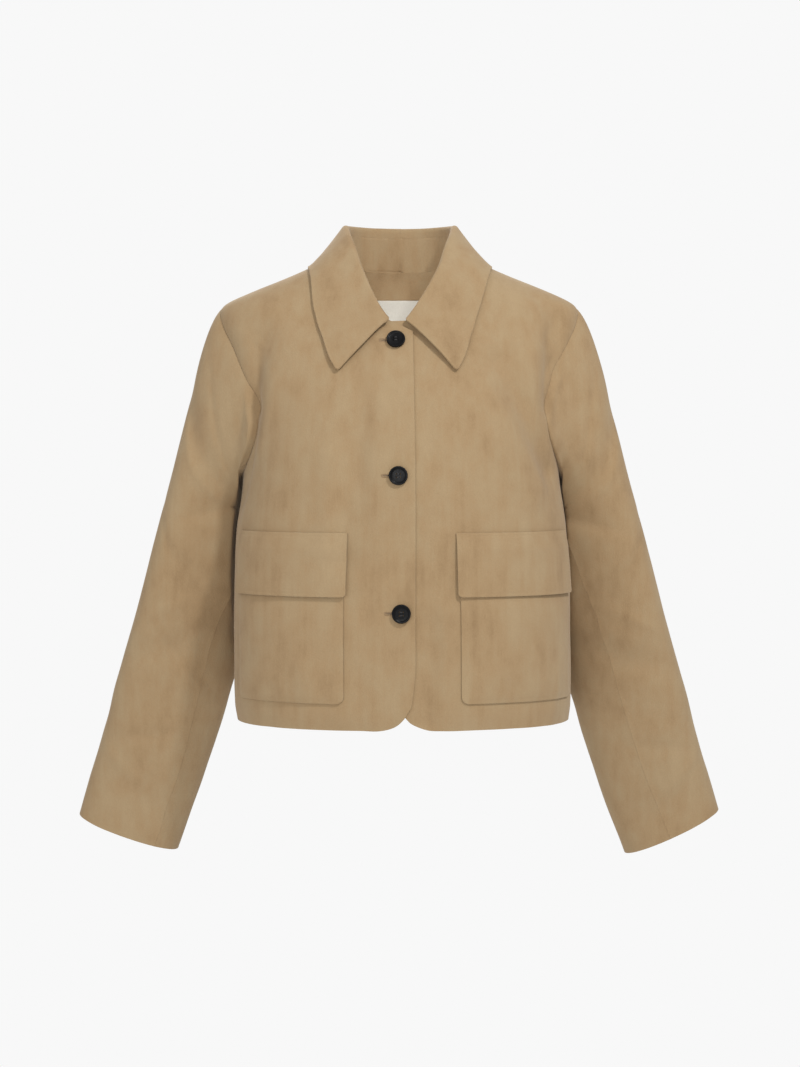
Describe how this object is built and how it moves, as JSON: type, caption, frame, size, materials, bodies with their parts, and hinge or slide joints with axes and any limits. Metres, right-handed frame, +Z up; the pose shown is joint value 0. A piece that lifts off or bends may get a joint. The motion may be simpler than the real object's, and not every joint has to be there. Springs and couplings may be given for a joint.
{
  "type": "cropped suede jacket",
  "caption": "Cropped suede jacket for the upper body, with a turned-down shirt collar, buttoned front, long sleeves and flap pockets.",
  "frame": {"origin": "midway between the two points where the shoulder seams meet the neck, which is where the wearer's shoulders carry the jacket", "axes": "+X to the wearer's left, across the hanging sleeves; +Y to the wearer's back; +Z up"},
  "size_m": [0.7199, 0.255, 0.7057],
  "materials": {
    "suede": "brushed suede nap, matt",
    "label_weave": "woven, matt",
    "button_black": "satin"
  },
  "bodies": {
    "root": {"front_right": "suede", "front_left": "suede", "back": "suede", "sleeve_right_top": "suede", "sleeve_right_under": "suede", "sleeve_left_top": "suede", "sleeve_left_under": "suede", "collar_stand": "suede", "collar_fall": "suede", "back_neck_facing": "suede", "neck_label": "label_weave", "pocket_right": "suede", "pocket_left": "suede", "flap_right": "suede", "flap_left": "suede", "button_top": "button_black", "button_middle": "button_black", "button_bottom": "button_black"}
  },
  "joints": []
}
